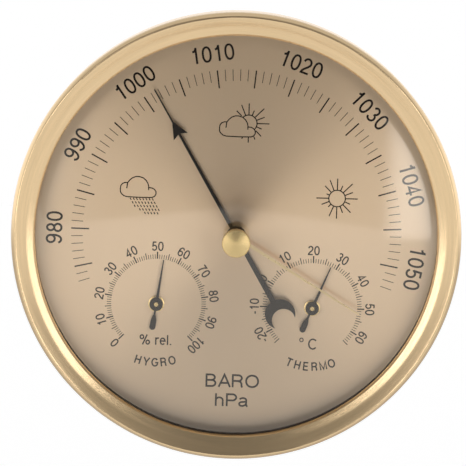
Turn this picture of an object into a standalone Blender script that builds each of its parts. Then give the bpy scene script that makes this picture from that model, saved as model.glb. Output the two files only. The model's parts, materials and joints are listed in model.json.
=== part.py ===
"""Wall barometer: an aneroid barometer with a hygrometer and a thermometer in its dial.

Everything is modelled in the dial's own frame: X to the right, Y up the dial and Z from the wall
towards the reader. The empty "barometer" turns that frame upright, so that in the world +Z is up,
the dial faces -Y and the back of the case lies in the plane Y = 0.
Sizes are in millimetres, and the helper functions turn them into metres.
Angles on the dial are in degrees, clockwise from the top as the reader sees them.
"""

import math

import bmesh
import bpy
from mathutils import Matrix

MM = 0.001
MERGE_DISTANCE = 0.000001  # metres
GAP = 0.3  # between pieces that touch on the real instrument

# Outside
BEZEL_RADIUS = 66.0
BEZEL_SHEET = 0.8
OPENING_RADIUS = 59.0
CASE_RADIUS = 61.5
CASE_SHEET = 0.9
CASE_CORNER = 5.0
SEAT_RADIUS = 64.3  # dial, ring and crystal, inside the bezel's skirt

# Heights above the wall
CASE_RIM = 24.1
DIAL_FACE = 25.0
DIAL_SHEET = 0.6
CRYSTAL_BACK = DIAL_FACE + 4.8
CRYSTAL_SHEET = 1.0
CRYSTAL_RISE = 4.5
CROWN_HEIGHT = DIAL_FACE + 10.4
PLATE_BACK = 2.8
PLATE_FRONT = 4.0
PLATE_SEAT = PLATE_FRONT + GAP
SHAFT_HEIGHT = 14.8
LEVER_BACK = 13.0
LEVER_FRONT = 13.8
BRIDGE_BACK = 16.5
BRIDGE_FRONT = 17.5

# Readings at rest, and the scales that they are read on
HPA_STEP = 2.7087  # degrees for 1 hPa
POINTER_ANGLE = (1001.7 - 1013.0) * HPA_STEP
HYGRO_ANGLE = (53.0 - 50.0) * 2.7
THERMO_ANGLE = (27.5 - 20.0) * 3.0
SET_HAND_ANGLE = 121.0

# Places on the dial plane
SUB_DIAL_X = 23.1
SUB_DIAL_Y = -21.35
CAPSULE_Y = 20.0
CAPSULE_RADIUS = 15.0
LEVER_PIVOT_Y = 36.0
LEVER_PIVOT_Z = 13.4
LEVER_TIP_X = 8.0
SHAFT_Y = -12.0
LINK_X = -9.0
KEYHOLE_Y = 46.5
KEYHOLE_RADIUS = 4.5
KEYHOLE_SLOT_Y = 52.0
KEYHOLE_SLOT_WIDTH = 5.0
CASE_SCREWS = ((-17.0, 32.0), (17.0, 32.0), (0.0, -22.0))
PILLAR_X = 15.0

# Gear train
MODULE = 0.5
PINION_TEETH = 12
SECTOR_FULL_TEETH = 108
PINION_RADIUS = MODULE * PINION_TEETH / 2
SECTOR_RADIUS = MODULE * SECTOR_FULL_TEETH / 2
SECTOR_Y = -(PINION_RADIUS + SECTOR_RADIUS + 0.1)
SECTOR_PITCH = 360.0 / SECTOR_FULL_TEETH
SECTOR_FIRST_TOOTH = -4
SECTOR_LAST_TOOTH = 6

# Facets of turned shapes
LARGE = 48
MEDIUM = 24
SMALL = 12

COLOURS = {
    "gold_aluminium": ((0.60, 0.45, 0.24), 0.32, 1.0),
    "champagne_lacquer": ((0.62, 0.50, 0.35), 0.45, 0.6),
    "brass": ((0.72, 0.52, 0.22), 0.25, 1.0),
    "black_enamel": ((0.015, 0.014, 0.014), 0.35, 0.0),
    "black_lacquered_steel": ((0.03, 0.03, 0.03), 0.5, 0.0),
    "black_plastic": ((0.02, 0.02, 0.02), 0.55, 0.0),
    "clear_acrylic": ((0.92, 0.95, 0.95), 0.03, 0.0),
    "rubber": ((0.03, 0.03, 0.03), 0.8, 0.0),
    "steel": ((0.55, 0.55, 0.56), 0.3, 1.0),
    "beryllium_copper": ((0.75, 0.52, 0.36), 0.3, 1.0),
}


def clear_scene():
    for obj in list(bpy.data.objects):
        bpy.data.objects.remove(obj)


def new_collection(name):
    collection = bpy.data.collections.new(name)
    bpy.context.scene.collection.children.link(collection)
    return collection


def make_material(name):
    colour, roughness, metallic = COLOURS[name]
    material = bpy.data.materials.new(name)
    material.use_nodes = True
    shader = material.node_tree.nodes["Principled BSDF"]
    shader.inputs["Base Color"].default_value = (*colour, 1.0)
    shader.inputs["Roughness"].default_value = roughness
    shader.inputs["Metallic"].default_value = metallic
    material.diffuse_color = (*colour, 1.0)
    return material


clear_scene()
parts = new_collection("barometer")
cutters = new_collection("cutters")
cutters.hide_render = True
materials = {name: make_material(name) for name in COLOURS}
upright = bpy.data.objects.new("barometer", None)
upright.rotation_euler = (math.radians(90), 0, 0)
parts.objects.link(upright)


# ---------------------------------------------------------------- helpers

def place(obj, material, location, rotation=(0, 0, 0)):
    """Puts a part in the dial's frame, at a location in millimetres."""
    obj.data.materials.append(materials[material])
    parts.objects.link(obj)
    obj.parent = upright
    obj.location = [value * MM for value in location]
    obj.rotation_euler = rotation
    return obj


def as_cutter(obj):
    """Moves a part to the cutters: it shapes another part and isn't one itself."""
    parts.objects.unlink(obj)
    cutters.objects.link(obj)
    obj.hide_render = True
    obj.display_type = "WIRE"
    return obj


def dial_turn(angle):
    """The rotation that points a hand, drawn along +Y, at an angle on the dial."""
    return (0, 0, -math.radians(angle))


def circle(radius, x=0.0, y=0.0, count=SMALL):
    return arc(radius, 0, 360 - 360 / count, count - 1, x, y)


def arc(radius, start, end, steps, x=0.0, y=0.0):
    """Points on an arc, at angles clockwise from +Y."""
    angles = [math.radians(start + (end - start) * i / steps) for i in range(steps + 1)]
    return [(x + radius * math.sin(a), y + radius * math.cos(a)) for a in angles]


def profile_arc(radius, start, end, steps, r, z):
    """Points on an arc of a turned profile, at angles from +R towards +Z."""
    angles = [math.radians(start + (end - start) * i / steps) for i in range(steps + 1)]
    return [(r + radius * math.cos(a), z + radius * math.sin(a)) for a in angles]


def rounded_box(left, right, bottom, top, radius, steps=3):
    corners = (
        (right - radius, top - radius, 0),
        (right - radius, bottom + radius, 90),
        (left + radius, bottom + radius, 180),
        (left + radius, top - radius, 270),
    )
    points = []
    for x, y, start in corners:
        points += arc(radius, start, start + 90, steps, x, y)
    return points


def turned(name, profile, material, steps, location=(0, 0, 0), closed=False, rotation=(0, 0, 0)):
    """A profile of (radius, height) points turned about Z, its outer side listed top to bottom."""
    mesh = bpy.data.meshes.new(name)
    edges = [(i, i + 1) for i in range(len(profile) - 1)]
    if closed:
        edges.append((len(profile) - 1, 0))
    mesh.from_pydata([(r * MM, 0, z * MM) for r, z in profile], edges, [])
    obj = place(bpy.data.objects.new(name, mesh), material, location, rotation)
    screw = obj.modifiers.new("Turn", "SCREW")
    screw.axis = "Z"
    screw.steps = steps
    screw.render_steps = steps
    screw.use_merge_vertices = True
    screw.merge_threshold = MERGE_DISTANCE
    screw.use_smooth_shade = True
    return obj


def ring(name, inner, outer, bottom, top, material, steps, location=(0, 0, 0)):
    profile = [(inner, top), (outer, top), (outer, bottom), (inner, bottom)]
    return turned(name, profile, material, steps, location, closed=True)


def rod(name, radius, bottom, top, material, steps=SMALL, location=(0, 0, 0), rotation=(0, 0, 0)):
    """A solid cylinder from height bottom to height top."""
    mesh = bpy.data.meshes.new(name)
    body = bmesh.new()
    bmesh.ops.create_cone(
        body, cap_ends=True, segments=steps,
        radius1=radius * MM, radius2=radius * MM, depth=(top - bottom) * MM,
        matrix=Matrix.Translation((0, 0, (bottom + top) / 2 * MM)),
    )
    body.to_mesh(mesh)
    body.free()
    return place(bpy.data.objects.new(name, mesh), material, location, rotation)


def block(name, x_range, y_range, z_range, material):
    """A box between two values on each axis of the dial's frame, its origin at its centre."""
    ranges = (x_range, y_range, z_range)
    mesh = bpy.data.meshes.new(name)
    body = bmesh.new()
    bmesh.ops.create_cube(body, size=1.0)
    sizes = [(high - low) * MM for low, high in ranges]
    bmesh.ops.scale(body, vec=sizes, verts=body.verts)
    body.to_mesh(mesh)
    body.free()
    centre = [(low + high) / 2 for low, high in ranges]
    return place(bpy.data.objects.new(name, mesh), material, centre)


def flat(name, outline, bottom, top, material, holes=(), x=0.0, y=0.0, rotation=(0, 0, 0)):
    """A flat piece cut from sheet, between two heights, with its origin at (x, y)."""
    curve = bpy.data.curves.new(name, "CURVE")
    curve.dimensions = "2D"
    curve.fill_mode = "BOTH"
    curve.extrude = (top - bottom) / 2 * MM
    for loop in (outline, *holes):
        spline = curve.splines.new("POLY")
        spline.points.add(len(loop) - 1)
        spline.use_cyclic_u = True
        for point, (u, v) in zip(spline.points, loop):
            point.co = (u * MM, v * MM, 0, 1)
    return place(bpy.data.objects.new(name, curve), material, (x, y, (bottom + top) / 2), rotation)


def as_mesh(obj):
    """The same part as a mesh with welded caps, which a Boolean needs."""
    bpy.context.view_layer.update()
    evaluated = obj.evaluated_get(bpy.context.evaluated_depsgraph_get())
    mesh = bpy.data.meshes.new_from_object(evaluated)
    body = bmesh.new()
    body.from_mesh(mesh)
    bmesh.ops.remove_doubles(body, verts=body.verts, dist=MERGE_DISTANCE)
    body.to_mesh(mesh)
    body.free()
    name = obj.name
    solid = bpy.data.objects.new(name + "_mesh", mesh)
    parts.objects.link(solid)
    solid.parent = upright
    solid.location = obj.location
    solid.rotation_euler = obj.rotation_euler
    bpy.data.objects.remove(obj)
    solid.name = name
    return solid


def boolean(obj, tool, operation):
    modifier = obj.modifiers.new(operation.title(), "BOOLEAN")
    modifier.operation = operation
    modifier.object = as_cutter(tool)
    return obj


def cut(obj, *tools):
    for tool in tools:
        boolean(obj, tool, "DIFFERENCE")
    return obj


def join(obj, *tools):
    for tool in tools:
        boolean(obj, tool, "UNION")
    return obj


def screw(name, x, y, head_radius, head, tip, shank_radius, material="steel"):
    """A slotted screw. Its head lies between the two heights of head, the outer one first."""
    outer, inner = head
    up = 1 if outer > inner else -1
    profile = [(0, outer), (head_radius, outer), (head_radius, inner)]
    profile += [(shank_radius, inner), (shank_radius, tip), (0, tip)]
    if up < 0:
        profile.reverse()
    obj = turned(name, profile, material, SMALL, (x, y, 0))
    depth = 0.45 * abs(outer - inner)
    slot_heights = sorted((outer - up * depth, outer + up))
    reach = head_radius + 1
    slot = block(name + "_slot", (x - reach, x + reach), (y - 0.35, y + 0.35), slot_heights, material)
    slot.rotation_euler = (0, 0, math.radians(35))
    return cut(obj, slot)


def spiral_strip(name, inner, outer, turns, bottom, top, thickness, material, location, start=0.0):
    """A flat spring strip wound in a spiral, standing on its edge."""
    points_per_turn = 12
    count = int(turns * points_per_turn)
    mesh = bpy.data.meshes.new(name)
    body = bmesh.new()
    verts = []
    for i in range(count + 1):
        share = i / count
        angle = math.radians(start) + share * turns * 2 * math.pi
        radius = inner + (outer - inner) * share
        verts.append(body.verts.new(
            (radius * math.sin(angle) * MM, radius * math.cos(angle) * MM, bottom * MM)))
    edges = [body.edges.new(pair) for pair in zip(verts, verts[1:])]
    raised = bmesh.ops.extrude_edge_only(body, edges=edges)["geom"]
    lift = [item for item in raised if isinstance(item, bmesh.types.BMVert)]
    bmesh.ops.translate(body, vec=(0, 0, (top - bottom) * MM), verts=lift)
    body.to_mesh(mesh)
    body.free()
    obj = place(bpy.data.objects.new(name, mesh), material, location)
    solidify = obj.modifiers.new("Sheet", "SOLIDIFY")
    solidify.thickness = thickness * MM
    solidify.offset = 0
    return obj


# ---------------------------------------------------------------- case and front

def make_rear_case():
    """A deep-drawn pan with a flange, pressed screw seats, a keyhole and vents in its back."""
    wall = CASE_RADIUS - CASE_SHEET
    corner = CASE_RADIUS - CASE_CORNER
    profile = [(0, CASE_SHEET)]
    profile += profile_arc(CASE_CORNER - CASE_SHEET, -90, 0, 3, corner, CASE_CORNER)
    profile += [(wall, CASE_RIM), (SEAT_RADIUS + 0.5, CASE_RIM)]
    profile += [(SEAT_RADIUS + 0.5, CASE_RIM - CASE_SHEET), (CASE_RADIUS, CASE_RIM - CASE_SHEET)]
    profile += profile_arc(CASE_CORNER, 0, -90, 3, corner, CASE_CORNER)
    profile += [(0, 0)]
    case = turned("rear_case", profile, "black_lacquered_steel", LARGE)
    for i, (x, y) in enumerate(CASE_SCREWS):
        seat = rod(f"seat_{i}", 5.0, CASE_SHEET / 2, PLATE_BACK - GAP, "steel", SMALL, (x, y, 0))
        recess = rod(f"recess_{i}", 3.8, -1, 1.6, "steel", SMALL, (x, y, 0))
        hole = rod(f"seat_hole_{i}", 1.3, -1, 4, "steel", SMALL, (x, y, 0))
        join(case, seat)
        cut(case, recess, hole)
    entry = rod("keyhole_entry", KEYHOLE_RADIUS, -1, 2, "steel", 24, (0, KEYHOLE_Y, 0))
    half = KEYHOLE_SLOT_WIDTH / 2
    slot_outline = [(half, KEYHOLE_Y), (-half, KEYHOLE_Y)]
    slot_outline += arc(half, -90, 90, 6, 0, KEYHOLE_SLOT_Y)
    slot = as_mesh(flat("keyhole_slot", slot_outline, -1, 2, "steel"))
    off_fan = (0, 0, math.radians(5))  # keeps the round edge off the back's radial mesh edges
    access = rod("calibration_access", 3.2, -1, 2, "steel", 20, (0, CAPSULE_Y, 0), off_fan)
    cut(case, entry, slot, access)
    for side in (-1, 1):
        for row in range(3):
            x = side * SUB_DIAL_X
            y = SUB_DIAL_Y + 5.5 * (row - 1)
            outline = rounded_box(x - 7, x + 7, y - 1, y + 1, 0.98)
            cut(case, as_mesh(flat(f"vent_{side}_{row}", outline, -1, 2, "steel")))


def make_bezel():
    """A spun ring: a dished front, a straight skirt, and a back edge rolled in behind the flange."""
    inner_skirt = BEZEL_RADIUS - BEZEL_SHEET
    curl = CASE_RIM - CASE_SHEET - 1.3
    lip = DIAL_FACE + 6.5
    profile = [(OPENING_RADIUS, lip), (OPENING_RADIUS, lip + 0.6), (59.5, lip + 0.95)]
    profile += [(61.5, lip + 1.6), (63.9, CROWN_HEIGHT - 0.3), (64.7, CROWN_HEIGHT)]
    profile += [(65.6, CROWN_HEIGHT - 0.3), (BEZEL_RADIUS, CROWN_HEIGHT - 1.2)]
    profile += [(BEZEL_RADIUS, curl), (63.4, curl), (63.4, curl + BEZEL_SHEET)]
    profile += [(inner_skirt, curl + BEZEL_SHEET), (inner_skirt, CROWN_HEIGHT - 1.4)]
    profile += [(64.7, CROWN_HEIGHT - 0.85), (64.1, CROWN_HEIGHT - 1.15)]
    profile += [(61.8, lip + 0.85), (59.8, lip + 0.15)]
    turned("bezel", profile, "gold_aluminium", LARGE, closed=True)


def make_crystal():
    """A domed window with a flat flange and a centre hole for the set hand's shaft."""
    edge = OPENING_RADIUS - 0.6
    front = CRYSTAL_BACK + CRYSTAL_SHEET
    hole = 1.6
    sphere = (edge * edge + CRYSTAL_RISE * CRYSTAL_RISE) / (2 * CRYSTAL_RISE)
    radii = [hole + (edge - hole) * i / 5 for i in range(6)]

    def dome(radius):
        return CRYSTAL_RISE - sphere + math.sqrt(sphere * sphere - radius * radius)

    profile = [(r, front + dome(r)) for r in radii]
    profile += [(SEAT_RADIUS, front), (SEAT_RADIUS, CRYSTAL_BACK)]
    profile += [(r, CRYSTAL_BACK + dome(r)) for r in reversed(radii)]
    turned("crystal", profile, "clear_acrylic", LARGE, closed=True)
    ring("crystal_gasket", 61.0, 63.5, front + GAP, front + 0.95, "rubber", LARGE)
    apex = front + CRYSTAL_RISE
    ring("crystal_washer", hole, 3.0, apex + GAP, apex + 0.7, "brass", SMALL)


def make_dial():
    holes = [circle(2.0)]
    holes += [circle(1.9, side * SUB_DIAL_X, SUB_DIAL_Y) for side in (-1, 1)]
    outline = circle(SEAT_RADIUS, count=LARGE)
    back = DIAL_FACE - DIAL_SHEET
    flat("dial_plate", outline, back, DIAL_FACE, "champagne_lacquer", holes)
    ring("dial_ring", 59.5, SEAT_RADIUS, DIAL_FACE + GAP, CRYSTAL_BACK - GAP, "black_plastic", LARGE)


# ---------------------------------------------------------------- hands

def make_baro_pointer():
    """The black hand: arrow, stem, hub and crescent tail in one stamping, with a turned hub."""
    right = [(0.18, 49.4), (0.25, 38.5), (2.35, 33.8), (0.33, 34.5), (0.55, 2.8)]
    outer_y, outer_radius = -26.8, 4.5
    inner_y, inner_radius = -28.9, 3.45
    step = outer_y - inner_y
    to_chord = (outer_radius ** 2 - inner_radius ** 2 + step ** 2) / (2 * step)
    horn = math.degrees(math.acos(to_chord / outer_radius))
    inner_horn = math.degrees(math.acos((to_chord - step) / inner_radius))
    stem = math.degrees(math.asin(0.8 / outer_radius))
    right += [(0.65, -2.8)] + arc(outer_radius, stem, 180 - horn, 8, 0, outer_y)
    left = [(-x, y) for x, y in reversed(right)]
    hollow = arc(inner_radius, 180 - inner_horn, inner_horn - 180, 8, 0, inner_y)[1:-1]
    outline = right + hollow + left
    turn = dial_turn(POINTER_ANGLE)
    bottom = DIAL_FACE + 2.7
    hand = as_mesh(flat("baro_pointer", outline, bottom, bottom + 0.4, "black_enamel", rotation=turn))
    hub = rod("pointer_hub", 2.9, DIAL_FACE + 2.3, DIAL_FACE + 4.0, "black_enamel", 24)
    bore = rod("pointer_bore", 1.05, DIAL_FACE + 1, DIAL_FACE + 3.6, "black_enamel")
    cut(join(hand, hub), bore)


def make_sub_hand(name, x, angle):
    """A small black hand with a rounded paddle on its tail and a ring at its hub."""
    right = [(0.15, 13.4), (0.45, 1.7), (0.3, -1.7), (0.3, -3.4), (1.0, -4.4)]
    right += arc(1.0, 90, 180, 3, 0, -7.0)
    left = [(-x_value, y) for x_value, y in reversed(right)][1:]
    bottom = DIAL_FACE + 1.0
    hand = as_mesh(flat(name, right + left, bottom, bottom + 0.4, "black_enamel",
                        x=x, y=SUB_DIAL_Y, rotation=dial_turn(angle)))
    centre = (x, SUB_DIAL_Y, 0)
    hub = rod(name + "_hub", 2.0, DIAL_FACE + 0.9, DIAL_FACE + 1.8, "black_enamel", SMALL, centre)
    bore = rod(name + "_bore", 0.95, DIAL_FACE, DIAL_FACE + 3, "black_enamel", 12, centre)
    cut(join(hand, hub), bore)


def make_set_hand():
    """The brass hand that the reader sets with the knob, on a shaft through the crystal."""
    bottom = DIAL_FACE + 5.6
    hub_angle = math.degrees(math.asin(0.5 / 2.4))
    outline = [(-0.2, 43.0), (0.2, 43.0)] + arc(2.4, hub_angle, 360 - hub_angle, 15)
    flat("set_hand", outline, bottom, bottom + 0.4, "brass", [circle(1.5)],
         rotation=dial_turn(SET_HAND_ANGLE))
    rod("set_shaft", 1.2, DIAL_FACE + 5.2, DIAL_FACE + 14.7, "brass")
    ring("set_hand_collet", 1.5, 2.6, DIAL_FACE + 6.3, DIAL_FACE + 8.3, "brass", SMALL)
    neck = DIAL_FACE + 11.3
    profile = [(0, neck + 10.0), (1.6, neck + 9.6), (3.8, neck + 9.4), (4.15, neck + 9.1)]
    profile += [(4.15, neck + 7.3), (3.7, neck + 6.7), (2.2, neck + 5.0), (1.9, neck + 1.0)]
    profile += [(2.3, neck), (1.5, neck), (1.5, neck + 3.7), (0, neck + 3.7)]
    turned("set_knob", profile, "brass", 24)


def make_sub_instrument(name, side, angle, strip_material):
    """Hygrometer or thermometer: a coil in a bracket behind the dial turns the small hand."""
    x = side * SUB_DIAL_X
    centre = (x, SUB_DIAL_Y, 0)
    top = DIAL_FACE - DIAL_SHEET - GAP
    outline = [(8.6, top), (11.4, top), (11.4, top - 0.7), (9.4, top - 0.7), (9.4, 14.6)]
    outline += [(-u, v) for u, v in reversed(outline)]
    outline += [(-8.6, 15.4), (8.6, 15.4)]
    bracket = flat(name + "_bracket", outline, -2, 2, "brass", rotation=(math.radians(90), 0, 0))
    bracket.location = [x * MM, SUB_DIAL_Y * MM, 0]
    spiral_strip(name + "_coil", 2.2, 7.8, 3.5, 17.4, 21.4, 0.3, strip_material, centre)
    rod(name + "_arbor", 0.65, 15.7, DIAL_FACE + 2.0, "brass", 12, centre)
    profile = [(0.95, DIAL_FACE + 0.6), (2.4, DIAL_FACE + 0.6), (2.4, DIAL_FACE + GAP)]
    profile += [(1.5, DIAL_FACE + GAP), (1.5, DIAL_FACE - 1.2), (0.95, DIAL_FACE - 1.2)]
    turned(name + "_bush", profile, "brass", SMALL, centre, closed=True)
    make_sub_hand(name + "_pointer", x, angle)


# ---------------------------------------------------------------- aneroid movement

def make_movement_plate():
    holes = [circle(1.05), circle(1.5, 0, CAPSULE_Y)]
    holes += [circle(1.3, x, y) for x, y in CASE_SCREWS]
    outline = rounded_box(-23, 23, -37, 40.5, 4)
    flat("movement_plate", outline, PLATE_BACK, PLATE_FRONT, "brass", holes)
    for i, (x, y) in enumerate(CASE_SCREWS):
        screw(f"case_screw_{i + 1}", x, y, 3.2, (0.2, 1.2), 4.6, 1.0)


def make_capsule():
    """The evacuated capsule: two corrugated dishes, and the stud at the centre of the front one."""
    rim = CAPSULE_RADIUS
    centre = (0, CAPSULE_Y, 0)
    waves = [(5.0, 0), (6.2, 0.4), (7.8, 0.4), (9.0, 0), (10.6, 0), (11.8, 0.4)]
    floor, sheet = 5.1, 0.6
    lower = [(0, 6.3), (2.6, 6.3), (2.6, floor + sheet)]
    lower += [(r, floor + sheet + z) for r, z in waves]
    lower += [(13.2, 7.1), (rim, 7.1), (rim, 6.5), (13.8, 6.5)]
    lower += [(r, floor + z) for r, z in reversed(waves)]
    lower += [(2.6, floor), (2.6, 4.5), (1.6, 4.5), (1.6, 5.7), (0, 5.7)]
    turned("capsule_lower", lower, "beryllium_copper", MEDIUM, centre)
    front = 9.6
    upper = [(3.0, front)] + [(r, front - z) for r, z in waves]
    upper += [(13.6, 8.0), (rim, 8.0), (rim, 7.4), (13.2, 7.4)]
    upper += [(r, front - sheet - z) for r, z in reversed(waves)]
    upper += [(3.0, front - sheet)]
    turned("capsule_upper", upper, "beryllium_copper", MEDIUM, centre, closed=True)
    stud = [(0, 17.5), (0.9, 17.5), (0.9, 12.7), (1.6, 12.7), (1.6, 10.0), (2.6, 10.0)]
    stud += [(2.6, 9.1), (0, 9.1)]
    turned("capsule_stud", stud, "steel", SMALL, centre)
    screw("calibration_screw", 0, CAPSULE_Y, 2.4, (1.3, 2.3), 5.3, 1.2)


def make_main_lever():
    """Portal stand with the lever's pivot pin, the lever that follows the stud, and its spring."""
    depth = (34.6, 40.4)
    frame = [(-8.2, PLATE_SEAT), (8.2, PLATE_SEAT), (8.2, 16.3), (-8.2, 16.3)]
    window = [(-6.4, 5.3), (6.4, 5.3), (6.4, 15.5), (-6.4, 15.5)]
    half = (depth[1] - depth[0]) / 2
    stand = flat("spring_stand", frame, -half, half, "brass", [window],
                 rotation=(math.radians(90), 0, 0))
    stand.location = [0, (depth[0] + half) * MM, 0]
    stand = as_mesh(stand)
    across = (0, math.radians(90), 0)
    pivot = (0, LEVER_PIVOT_Y, LEVER_PIVOT_Z)
    cut(stand, rod("stand_pin_hole", 1.1, -12, 12, "steel", 12, pivot, across))
    rod("lever_pin", 0.8, -8.6, 8.6, "steel", 12, pivot, across)

    tip_y = SHAFT_Y + 3.4
    jog_y = 9.0
    outline = [(4.0, LEVER_PIVOT_Y), (3.2, CAPSULE_Y - 3), (LEVER_TIP_X + 1.2, jog_y)]
    outline += [(LEVER_TIP_X + 1.2, tip_y), (LEVER_TIP_X - 1.2, tip_y), (LEVER_TIP_X - 1.2, jog_y)]
    outline += [(-3.2, CAPSULE_Y - 3), (-4.0, LEVER_PIVOT_Y)]
    outline = [(x, y - LEVER_PIVOT_Y) for x, y in outline]
    hole = circle(1.4, 0, CAPSULE_Y - LEVER_PIVOT_Y)
    lever = flat("main_lever", outline, LEVER_BACK - LEVER_PIVOT_Z, LEVER_FRONT - LEVER_PIVOT_Z,
                 "brass", [hole], y=LEVER_PIVOT_Y)
    lever.location[2] = LEVER_PIVOT_Z * MM
    lever = as_mesh(lever)
    join(lever, rod("lever_tube", 1.8, -5.2, 5.2, "brass", 12, pivot, across))
    cut(lever, rod("lever_bore", 1.1, -6, 6, "brass", 12, pivot, across))

    leaf_back = 16.3 + GAP
    outline = [(-5.4, 40.2), (5.4, 40.2), (5.4, 36.5), (2.8, 20.0)]
    outline += arc(2.8, 90, 270, 6, 0, CAPSULE_Y - 1) + [(-2.8, 20.0), (-5.4, 36.5)]
    holes = [circle(1.4, 0, CAPSULE_Y)] + [circle(1.1, x, 38.4, 12) for x in (-3.4, 3.4)]
    flat("main_spring", outline, leaf_back, leaf_back + 0.5, "steel", holes)
    for i, x in enumerate((-3.4, 3.4)):
        cut(stand, rod(f"stand_screw_hole_{i}", 1.1, 15, 17, "steel", 12, (x, 38.4, 0)))
        screw(f"spring_screw_{i + 1}", x, 38.4, 1.7, (leaf_back + 1.7, leaf_back + 0.8), 15.8, 0.8)


def make_rocking_shaft():
    """The shaft across the movement: one arm rests on the lever's tip, the other moves the link."""
    across = (0, math.radians(90), 0)
    axis = (0, SHAFT_Y, SHAFT_HEIGHT)
    profile = [(0, 14.6), (0.5, 14.6), (0.5, 13.2), (1.0, 13.2)]
    profile += [(r, -x) for r, x in reversed(profile)]
    shaft = turned("rocking_shaft", profile, "steel", 12, axis, rotation=across)
    follower = block("shaft_follower", (LEVER_TIP_X - 0.7, LEVER_TIP_X + 0.7),
                     (SHAFT_Y, SHAFT_Y + 4.3), (SHAFT_HEIGHT - 0.6, SHAFT_HEIGHT + 0.6), "steel")
    crank = block("shaft_crank", (LINK_X - 0.5, LINK_X + 0.5),
                  (SHAFT_Y - 0.7, SHAFT_Y + 0.7), (SHAFT_HEIGHT - 7.7, SHAFT_HEIGHT), "steel")
    join(shaft, follower, crank)
    for name, side in (("left", -1), ("right", 1)):
        x_range = sorted((side * 13.6, side * 16.4))
        post = block("rocker_post_" + name, x_range, (SHAFT_Y - 2, SHAFT_Y + 2),
                     (PLATE_SEAT, 16.8), "brass")
        cut(post, rod(f"post_hole_{name}", 0.8, -15.0, 15.0, "brass", 12, axis, across))


def make_drive_link():
    """The flat link between the shaft's crank and the sector's pin, an eye at each end."""
    upper, lower = SHAFT_Y, SECTOR_Y + 0.1
    neck = math.degrees(math.asin(0.6 / 2.6))
    lower_neck = math.degrees(math.asin(0.6 / 2.0))
    outline = arc(2.6, -180 + neck, 180 - neck, 12, 0, upper)
    outline += arc(2.0, lower_neck, 360 - lower_neck, 10, 0, lower)
    holes = [circle(1.6, 0, upper, 12), circle(1.1, 0, lower, 12)]
    flat("drive_link", outline, 7.4, 8.2, "steel", holes, x=LINK_X)


def tooth(pitch_radius, angle, root_half, tip_half):
    """Four points of one straight-sided tooth, root to root, clockwise."""
    root = pitch_radius - 1.25 * MODULE
    tip = pitch_radius + 0.9 * MODULE
    turn = math.radians(angle)
    corners = ((-root_half, root), (-tip_half, tip), (tip_half, tip), (root_half, root))
    return [(u * math.cos(turn) + v * math.sin(turn), v * math.cos(turn) - u * math.sin(turn))
            for u, v in corners]


def make_sector():
    """The toothed sector on its stud, with a pin on its tail for the link."""
    root = SECTOR_RADIUS - 1.25 * MODULE
    first = SECTOR_FIRST_TOOTH * SECTOR_PITCH - 1.5
    last = SECTOR_LAST_TOOTH * SECTOR_PITCH + 1.5
    outline = arc(root, first, first, 1)[:1]
    for k in range(SECTOR_FIRST_TOOTH, SECTOR_LAST_TOOTH + 1):
        outline += tooth(SECTOR_RADIUS, k * SECTOR_PITCH, 0.40, 0.15)
    outline += arc(root, last, last, 1)[:1]
    outline += arc(4.0, 95, 240, 7)
    outline += arc(2.0, 180, 360, 6, LINK_X, 0.1)
    outline += arc(4.0, 300, 300, 1)[:1]
    window = arc(22.0, first + 4, last - 4, 5) + arc(9.0, last - 7, first + 7, 2)
    sector = as_mesh(flat("sector_gear", outline, 5.4, 6.6, "brass", [circle(1.3), window],
                          y=SECTOR_Y))
    join(sector, rod("sector_pin", 0.6, 6.0, 8.9, "brass", 12, (LINK_X, SECTOR_Y + 0.1, 0)))
    profile = [(0, 7.9), (2.0, 7.9), (2.0, 7.0), (1.0, 7.0), (1.0, 4.9), (2.0, 4.9)]
    profile += [(2.0, PLATE_SEAT), (0, PLATE_SEAT)]
    turned("sector_stud", profile, "steel", SMALL, (0, SECTOR_Y, 0))


def make_pointer_arbor():
    """The upright arbor: pinion at its back, bridge and hairspring above it, the hand in front."""
    rod("pointer_arbor", 0.75, 2.2, DIAL_FACE + 3.3, "steel")
    outline = []
    for k in range(PINION_TEETH):
        outline += tooth(PINION_RADIUS, 180 + (k + 0.5) * 360 / PINION_TEETH, 0.34, 0.15)
    flat("pointer_pinion", outline, 4.9, 7.1, "steel", [circle(1.05)])
    bridge = arc(2.8, 0, 180, 6, PILLAR_X + 0.4, 0) + arc(2.8, 180, 360, 6, -PILLAR_X - 0.4, 0)
    holes = [circle(1.05)] + [circle(1.2, x, 0) for x in (-PILLAR_X, PILLAR_X)]
    flat("arbor_bridge", bridge, BRIDGE_BACK, BRIDGE_FRONT, "brass", holes)
    for name, x in (("left", -PILLAR_X), ("right", PILLAR_X)):
        top = BRIDGE_BACK - GAP
        profile = [(1.2, top), (2.2, top), (2.2, PLATE_SEAT), (0, PLATE_SEAT)]
        profile = [(0, 12.0), (1.2, 12.0)] + profile
        turned("bridge_pillar_" + name, profile, "brass", SMALL, (x, 0, 0))
        screw("bridge_screw_" + name, x, 0, 1.9, (BRIDGE_FRONT + 1.3, BRIDGE_FRONT + GAP), 12.4, 0.9)
    ring("hairspring_collet", 1.05, 1.7, 18.4, 20.0, "brass", SMALL)
    spiral_strip("hairspring", 2.1, 5.6, 4.0, 18.8, 19.6, 0.2, "steel", (0, 0, 0), start=90)
    rod("hairspring_stud", 0.8, BRIDGE_FRONT + GAP, 20.2, "brass", 12, (6.9, 0, 0))


make_rear_case()
make_bezel()
make_crystal()
make_dial()
make_baro_pointer()
make_set_hand()
make_sub_instrument("hygro", -1, HYGRO_ANGLE, "steel")
make_sub_instrument("thermo", 1, THERMO_ANGLE, "beryllium_copper")
make_movement_plate()
make_capsule()
make_main_lever()
make_rocking_shaft()
make_drive_link()
make_sector()
make_pointer_arbor()
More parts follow.
